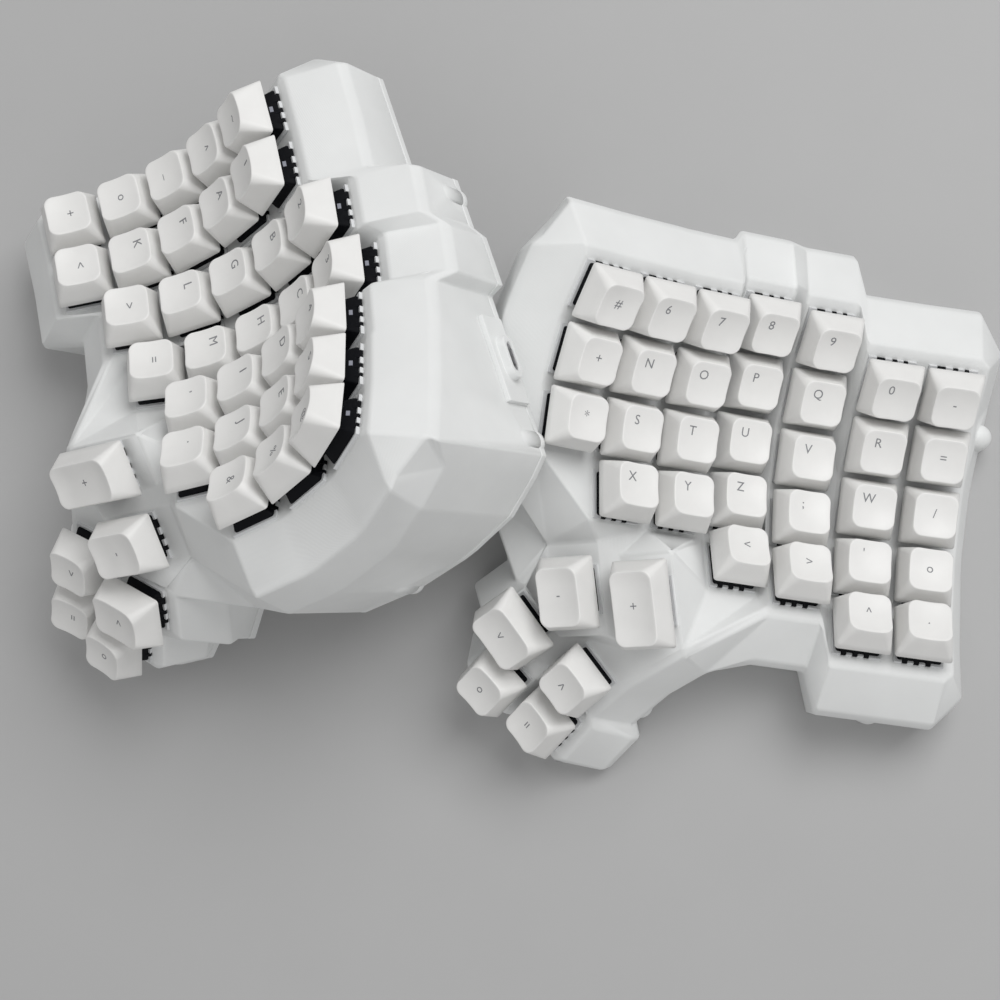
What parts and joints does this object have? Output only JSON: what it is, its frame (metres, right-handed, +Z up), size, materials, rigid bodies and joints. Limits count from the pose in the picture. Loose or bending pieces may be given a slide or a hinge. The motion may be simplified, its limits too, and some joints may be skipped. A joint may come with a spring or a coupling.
{
  "type": "split ergonomic keyboard",
  "caption": "Split ergonomic keyboard: mirrored printed halves with concave key wells, staggered columns, thumb clusters and sprung keys, the left half leaning on the right.",
  "frame": {"origin": "on the table, under the middle key of the right half's middle-finger column", "axes": "+X to the right half's outer side, +Y to its back, +Z up from the table"},
  "size_m": [0.3256, 0.2117, 0.1319],
  "materials": {
    "case_print": "matte, printed layers",
    "base_print": "matte, printed layers",
    "switch_white": "satin, slightly translucent",
    "switch_dark": "satin",
    "cap": "fine matte grain",
    "socket_steel": "satin",
    "board": "satin solder mask",
    "cell": "satin foil",
    "screw_steel": "dark satin",
    "insert_brass": "satin"
  },
  "bodies": {
    "halves": {"right_case": "case_print", "left_case": "case_print", "right_base_plate": "base_print", "left_base_plate": "base_print", "right_switch_bases": "switch_white", "left_switch_bases": "switch_white", "right_switch_tops": "switch_dark", "left_switch_tops": "switch_dark", "port_holders": "case_print", "usb_sockets": "socket_steel", "controller_boards": "board", "batteries": "cell", "base_screws": "screw_steel", "threaded_inserts": "insert_brass"},
    "right_little_keys_1": {"right_little_keys_1": "cap"},
    "right_little_keys_2": {"right_little_keys_2": "cap"},
    "right_little_keys_3": {"right_little_keys_3": "cap"},
    "right_little_keys_4": {"right_little_keys_4": "cap"},
    "right_little_keys_5": {"right_little_keys_5": "cap"},
    "right_middle_keys_1": {"right_middle_keys_1": "cap"},
    "right_middle_keys_2": {"right_middle_keys_2": "cap"},
    "right_middle_keys_3": {"right_middle_keys_3": "cap"},
    "right_middle_keys_4": {"right_middle_keys_4": "cap"},
    "right_middle_keys_5": {"right_middle_keys_5": "cap"},
    "right_index_keys_1": {"right_index_keys_1": "cap"},
    "right_index_keys_2": {"right_index_keys_2": "cap"},
    "right_index_keys_3": {"right_index_keys_3": "cap"},
    "right_index_keys_4": {"right_index_keys_4": "cap"},
    "right_inner_key_1": {"right_inner_key_1": "cap"},
    "right_inner_key_2": {"right_inner_key_2": "cap"},
    "right_inner_key_3": {"right_inner_key_3": "cap"},
    "right_thumb_upper_keys": {"right_thumb_upper_keys": "cap"},
    "right_thumb_mid_inner_key": {"right_thumb_mid_inner_key": "cap"},
    "right_thumb_mid_outer_key": {"right_thumb_mid_outer_key": "cap"},
    "right_thumb_low_inner_key": {"right_thumb_low_inner_key": "cap"},
    "right_thumb_low_outer_key": {"right_thumb_low_outer_key": "cap"},
    "left_little_keys_1": {"left_little_keys_1": "cap"},
    "left_little_keys_2": {"left_little_keys_2": "cap"},
    "left_little_keys_3": {"left_little_keys_3": "cap"},
    "left_little_keys_4": {"left_little_keys_4": "cap"},
    "left_little_keys_5": {"left_little_keys_5": "cap"},
    "left_middle_keys_1": {"left_middle_keys_1": "cap"},
    "left_middle_keys_2": {"left_middle_keys_2": "cap"},
    "left_middle_keys_3": {"left_middle_keys_3": "cap"},
    "left_middle_keys_4": {"left_middle_keys_4": "cap"},
    "left_middle_keys_5": {"left_middle_keys_5": "cap"},
    "left_index_keys_1": {"left_index_keys_1": "cap"},
    "left_index_keys_2": {"left_index_keys_2": "cap"},
    "left_index_keys_3": {"left_index_keys_3": "cap"},
    "left_index_keys_4": {"left_index_keys_4": "cap"},
    "left_inner_key_1": {"left_inner_key_1": "cap"},
    "left_inner_key_2": {"left_inner_key_2": "cap"},
    "left_inner_key_3": {"left_inner_key_3": "cap"},
    "left_thumb_upper_keys": {"left_thumb_upper_keys": "cap"},
    "left_thumb_mid_inner_key": {"left_thumb_mid_inner_key": "cap"},
    "left_thumb_mid_outer_key": {"left_thumb_mid_outer_key": "cap"},
    "left_thumb_low_inner_key": {"left_thumb_low_inner_key": "cap"},
    "left_thumb_low_outer_key": {"left_thumb_low_outer_key": "cap"}
  },
  "joints": [
    {"name": "press_right_little_keys_1", "type": "slide", "parent": "halves", "child": "right_little_keys_1", "axis": [-0.128, 0.5004, -0.8563], "range_m": [0, 0.004], "stiffness_N_per_m": 300, "springref_m": -0.003},
    {"name": "press_right_little_keys_2", "type": "slide", "parent": "halves", "child": "right_little_keys_2", "axis": [-0.1428, 0.259, -0.9553], "range_m": [0, 0.004], "stiffness_N_per_m": 300, "springref_m": -0.003},
    {"name": "press_right_little_keys_3", "type": "slide", "parent": "halves", "child": "right_little_keys_3", "axis": [-0.1478, 0, -0.989], "range_m": [0, 0.004], "stiffness_N_per_m": 300, "springref_m": -0.003},
    {"name": "press_right_little_keys_4", "type": "slide", "parent": "halves", "child": "right_little_keys_4", "axis": [-0.1428, -0.259, -0.9553], "range_m": [0, 0.004], "stiffness_N_per_m": 300, "springref_m": -0.003},
    {"name": "press_right_little_keys_5", "type": "slide", "parent": "halves", "child": "right_little_keys_5", "axis": [-0.128, -0.5004, -0.8563], "range_m": [0, 0.004], "stiffness_N_per_m": 300, "springref_m": -0.003},
    {"name": "press_right_middle_keys_1", "type": "slide", "parent": "halves", "child": "right_middle_keys_1", "axis": [-0.3104, 0.5, -0.8085], "range_m": [0, 0.004], "stiffness_N_per_m": 300, "springref_m": -0.003},
    {"name": "press_right_middle_keys_2", "type": "slide", "parent": "halves", "child": "right_middle_keys_2", "axis": [-0.3462, 0.2588, -0.9018], "range_m": [0, 0.004], "stiffness_N_per_m": 300, "springref_m": -0.003},
    {"name": "press_right_middle_keys_3", "type": "slide", "parent": "halves", "child": "right_middle_keys_3", "axis": [-0.3584, 0, -0.9336], "range_m": [0, 0.004], "stiffness_N_per_m": 300, "springref_m": -0.003},
    {"name": "press_right_middle_keys_4", "type": "slide", "parent": "halves", "child": "right_middle_keys_4", "axis": [-0.3462, -0.2588, -0.9018], "range_m": [0, 0.004], "stiffness_N_per_m": 300, "springref_m": -0.003},
    {"name": "press_right_middle_keys_5", "type": "slide", "parent": "halves", "child": "right_middle_keys_5", "axis": [-0.3104, -0.5, -0.8085], "range_m": [0, 0.004], "stiffness_N_per_m": 300, "springref_m": -0.003},
    {"name": "press_right_index_keys_1", "type": "slide", "parent": "halves", "child": "right_index_keys_1", "axis": [-0.4131, 0.5004, -0.7609], "range_m": [0, 0.004], "stiffness_N_per_m": 300, "springref_m": -0.003},
    {"name": "press_right_index_keys_2", "type": "slide", "parent": "halves", "child": "right_index_keys_2", "axis": [-0.4609, 0.259, -0.8488], "range_m": [0, 0.004], "stiffness_N_per_m": 300, "springref_m": -0.003},
    {"name": "press_right_index_keys_3", "type": "slide", "parent": "halves", "child": "right_index_keys_3", "axis": [-0.4772, 0, -0.8788], "range_m": [0, 0.004], "stiffness_N_per_m": 300, "springref_m": -0.003},
    {"name": "press_right_index_keys_4", "type": "slide", "parent": "halves", "child": "right_index_keys_4", "axis": [-0.4609, -0.259, -0.8488], "range_m": [0, 0.004], "stiffness_N_per_m": 300, "springref_m": -0.003},
    {"name": "press_right_inner_key_1", "type": "slide", "parent": "halves", "child": "right_inner_key_1", "axis": [-0.509, 0.5, -0.7006], "range_m": [0, 0.004], "stiffness_N_per_m": 150, "springref_m": -0.003},
    {"name": "press_right_inner_key_2", "type": "slide", "parent": "halves", "child": "right_inner_key_2", "axis": [-0.5678, 0.2588, -0.7815], "range_m": [0, 0.004], "stiffness_N_per_m": 150, "springref_m": -0.003},
    {"name": "press_right_inner_key_3", "type": "slide", "parent": "halves", "child": "right_inner_key_3", "axis": [-0.5878, 0, -0.809], "range_m": [0, 0.004], "stiffness_N_per_m": 150, "springref_m": -0.003},
    {"name": "press_right_thumb_upper_keys", "type": "slide", "parent": "halves", "child": "right_thumb_upper_keys", "axis": [0.3488, 0.2378, -0.9065], "range_m": [0, 0.004], "stiffness_N_per_m": 300, "springref_m": -0.003},
    {"name": "press_right_thumb_mid_inner_key", "type": "slide", "parent": "halves", "child": "right_thumb_mid_inner_key", "axis": [0.3588, 0.4375, -0.8245], "range_m": [0, 0.004], "stiffness_N_per_m": 150, "springref_m": -0.003},
    {"name": "press_right_thumb_mid_outer_key", "type": "slide", "parent": "halves", "child": "right_thumb_mid_outer_key", "axis": [0.4498, 0.3433, -0.8245], "range_m": [0, 0.004], "stiffness_N_per_m": 150, "springref_m": -0.003},
    {"name": "press_right_thumb_low_inner_key", "type": "slide", "parent": "halves", "child": "right_thumb_low_inner_key", "axis": [0.4072, 0.4079, -0.8172], "range_m": [0, 0.004], "stiffness_N_per_m": 150, "springref_m": -0.003},
    {"name": "press_right_thumb_low_outer_key", "type": "slide", "parent": "halves", "child": "right_thumb_low_outer_key", "axis": [0.5307, 0.2615, -0.8062], "range_m": [0, 0.004], "stiffness_N_per_m": 150, "springref_m": -0.003},
    {"name": "press_left_little_keys_1", "type": "slide", "parent": "halves", "child": "left_little_keys_1", "axis": [0.7852, 0.1809, -0.5923], "range_m": [0, 0.004], "stiffness_N_per_m": 300, "springref_m": -0.003},
    {"name": "press_left_little_keys_2", "type": "slide", "parent": "halves", "child": "left_little_keys_2", "axis": [0.6324, 0.0681, -0.7717], "range_m": [0, 0.004], "stiffness_N_per_m": 300, "springref_m": -0.003},
    {"name": "press_left_little_keys_3", "type": "slide", "parent": "halves", "child": "left_little_keys_3", "axis": [0.4364, -0.0494, -0.8984], "range_m": [0, 0.004], "stiffness_N_per_m": 300, "springref_m": -0.003},
    {"name": "press_left_little_keys_4", "type": "slide", "parent": "halves", "child": "left_little_keys_4", "axis": [0.2106, -0.1636, -0.9638], "range_m": [0, 0.004], "stiffness_N_per_m": 300, "springref_m": -0.003},
    {"name": "press_left_little_keys_5", "type": "slide", "parent": "halves", "child": "left_little_keys_5", "axis": [-0.0295, -0.2665, -0.9634], "range_m": [0, 0.004], "stiffness_N_per_m": 300, "springref_m": -0.003},
    {"name": "press_left_middle_keys_1", "type": "slide", "parent": "halves", "child": "left_middle_keys_1", "axis": [0.8478, 0.0143, -0.5301], "range_m": [0, 0.004], "stiffness_N_per_m": 300, "springref_m": -0.003},
    {"name": "press_left_middle_keys_2", "type": "slide", "parent": "halves", "child": "left_middle_keys_2", "axis": [0.7024, -0.1176, -0.702], "range_m": [0, 0.004], "stiffness_N_per_m": 300, "springref_m": -0.003},
    {"name": "press_left_middle_keys_3", "type": "slide", "parent": "halves", "child": "left_middle_keys_3", "axis": [0.509, -0.2416, -0.8262], "range_m": [0, 0.004], "stiffness_N_per_m": 300, "springref_m": -0.003},
    {"name": "press_left_middle_keys_4", "type": "slide", "parent": "halves", "child": "left_middle_keys_4", "axis": [0.281, -0.349, -0.894], "range_m": [0, 0.004], "stiffness_N_per_m": 300, "springref_m": -0.003},
    {"name": "press_left_middle_keys_5", "type": "slide", "parent": "halves", "child": "left_middle_keys_5", "axis": [0.0338, -0.4327, -0.9009], "range_m": [0, 0.004], "stiffness_N_per_m": 300, "springref_m": -0.003},
    {"name": "press_left_index_keys_1", "type": "slide", "parent": "halves", "child": "left_index_keys_1", "axis": [0.8759, -0.081, -0.4757], "range_m": [0, 0.004], "stiffness_N_per_m": 300, "springref_m": -0.003},
    {"name": "press_left_index_keys_2", "type": "slide", "parent": "halves", "child": "left_index_keys_2", "axis": [0.7336, -0.2241, -0.6416], "range_m": [0, 0.004], "stiffness_N_per_m": 300, "springref_m": -0.003},
    {"name": "press_left_index_keys_3", "type": "slide", "parent": "halves", "child": "left_index_keys_3", "axis": [0.5412, -0.3519, -0.7637], "range_m": [0, 0.004], "stiffness_N_per_m": 300, "springref_m": -0.003},
    {"name": "press_left_index_keys_4", "type": "slide", "parent": "halves", "child": "left_index_keys_4", "axis": [0.3118, -0.4557, -0.8337], "range_m": [0, 0.004], "stiffness_N_per_m": 300, "springref_m": -0.003},
    {"name": "press_left_inner_key_1", "type": "slide", "parent": "halves", "child": "left_inner_key_1", "axis": [0.8955, -0.1716, -0.4106], "range_m": [0, 0.004], "stiffness_N_per_m": 150, "springref_m": -0.003},
    {"name": "press_left_inner_key_2", "type": "slide", "parent": "halves", "child": "left_inner_key_2", "axis": [0.7555, -0.325, -0.5688], "range_m": [0, 0.004], "stiffness_N_per_m": 150, "springref_m": -0.003},
    {"name": "press_left_inner_key_3", "type": "slide", "parent": "halves", "child": "left_inner_key_3", "axis": [0.5641, -0.4563, -0.6882], "range_m": [0, 0.004], "stiffness_N_per_m": 150, "springref_m": -0.003},
    {"name": "press_left_thumb_upper_keys", "type": "slide", "parent": "halves", "child": "left_thumb_upper_keys", "axis": [0.3788, 0.4923, -0.7837], "range_m": [0, 0.004], "stiffness_N_per_m": 300, "springref_m": -0.003},
    {"name": "press_left_thumb_mid_inner_key", "type": "slide", "parent": "halves", "child": "left_thumb_mid_inner_key", "axis": [0.5062, 0.5837, -0.6349], "range_m": [0, 0.004], "stiffness_N_per_m": 150, "springref_m": -0.003},
    {"name": "press_left_thumb_mid_outer_key", "type": "slide", "parent": "halves", "child": "left_thumb_mid_outer_key", "axis": [0.3891, 0.6226, -0.6789], "range_m": [0, 0.004], "stiffness_N_per_m": 150, "springref_m": -0.003},
    {"name": "press_left_thumb_low_inner_key", "type": "slide", "parent": "halves", "child": "left_thumb_low_inner_key", "axis": [0.4578, 0.613, -0.6439], "range_m": [0, 0.004], "stiffness_N_per_m": 150, "springref_m": -0.003},
    {"name": "press_left_thumb_low_outer_key", "type": "slide", "parent": "halves", "child": "left_thumb_low_outer_key", "axis": [0.2798, 0.6566, -0.7004], "range_m": [0, 0.004], "stiffness_N_per_m": 150, "springref_m": -0.003}
  ]
}
